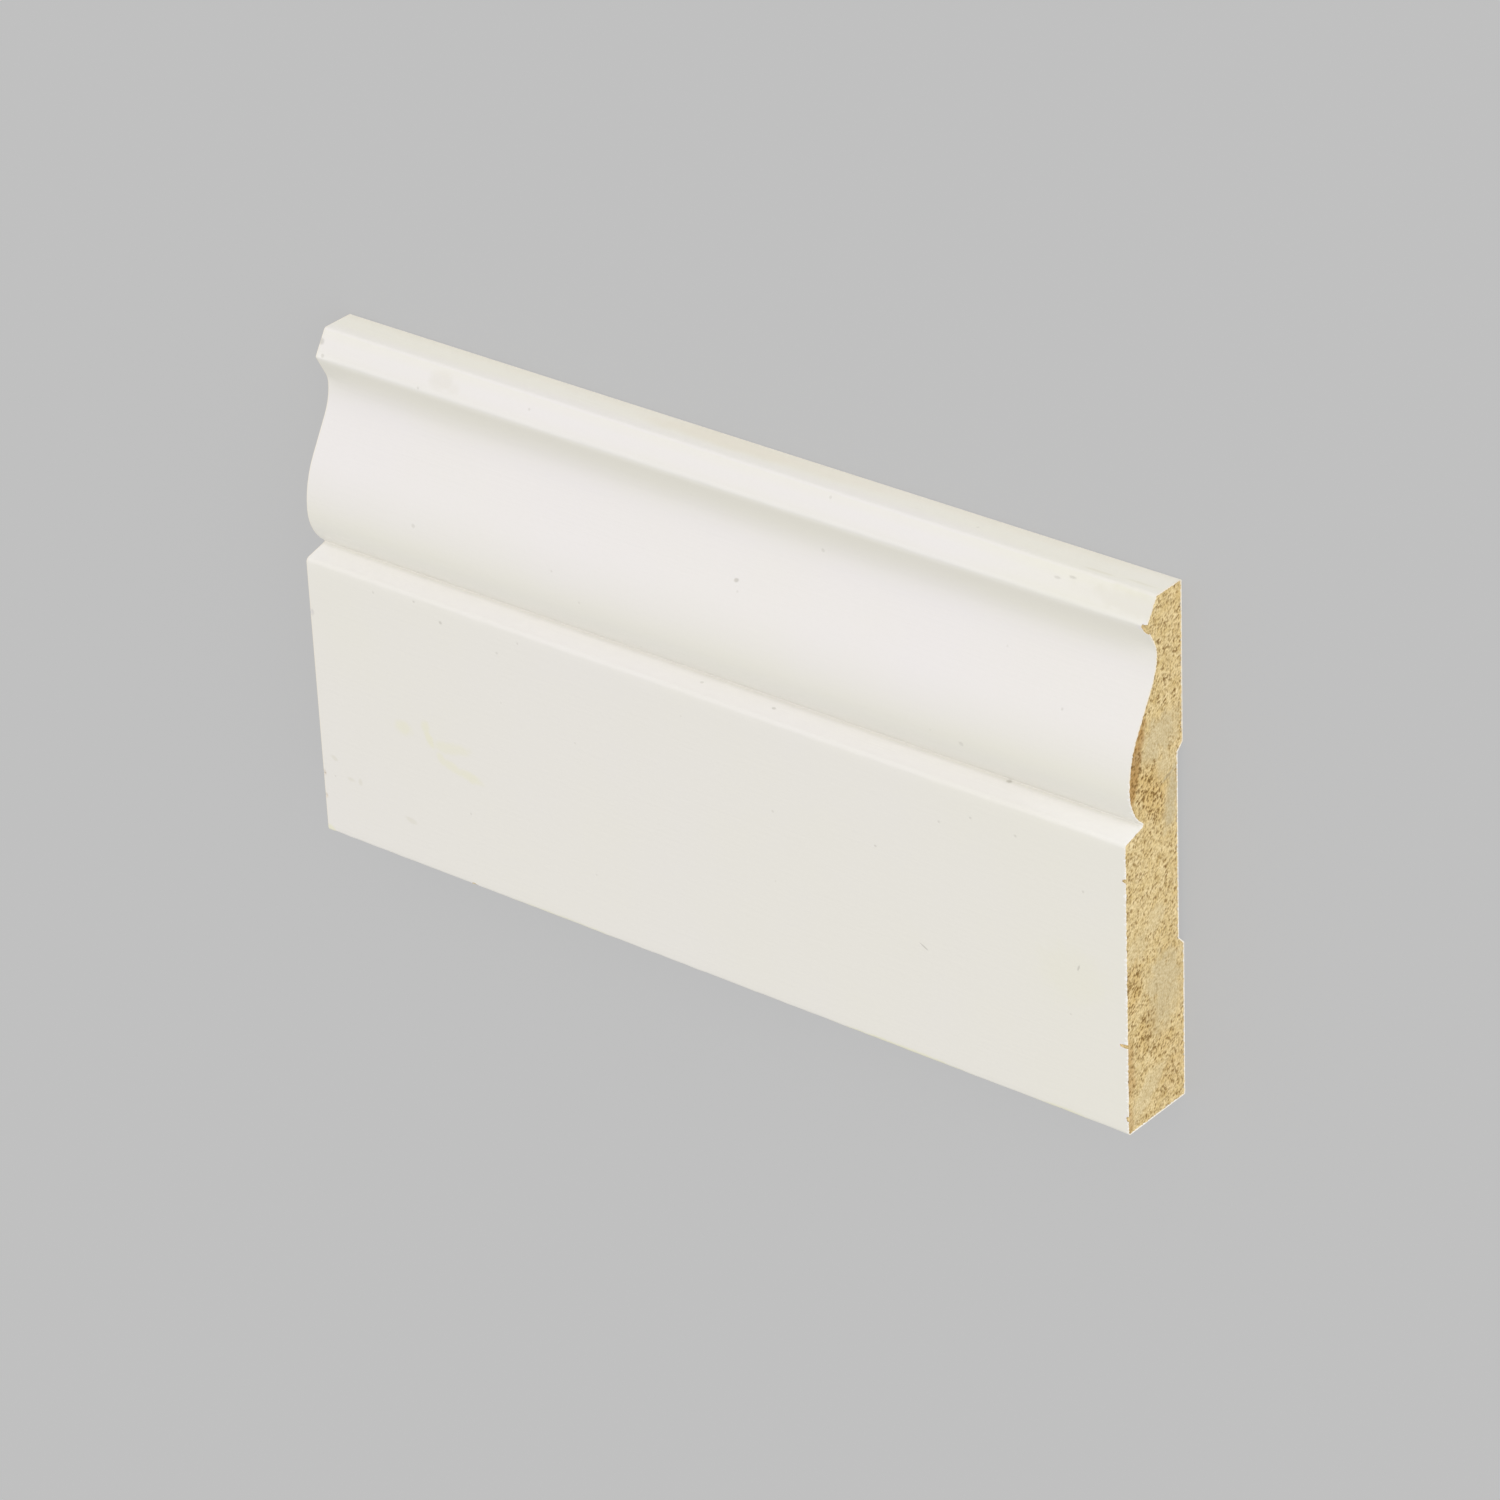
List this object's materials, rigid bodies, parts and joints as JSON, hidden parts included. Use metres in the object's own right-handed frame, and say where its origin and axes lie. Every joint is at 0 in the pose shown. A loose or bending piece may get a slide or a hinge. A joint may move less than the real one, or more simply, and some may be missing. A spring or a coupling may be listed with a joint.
{
  "type": "skirting board length",
  "caption": "Short cut length of painted softwood skirting: flat foot, stepped ledge, ogee and pointed nose on the face, shallow relief in the back, raw sawn ends.",
  "frame": {"origin": "on the back of the board, at the middle of its length and of its height, which is the middle of what lies on the floor", "axes": "+X along the board to the sawn end shown in the picture, +Y across the board from the square foot to the moulded top edge, +Z from the back to the plain face; the board lies on its back"},
  "size_m": [0.221, 0.12, 0.02],
  "materials": {
    "painted_softwood": "satin",
    "sawn_softwood": "matte"
  },
  "bodies": {
    "root": {"skirting_board": "painted_softwood"}
  },
  "joints": []
}
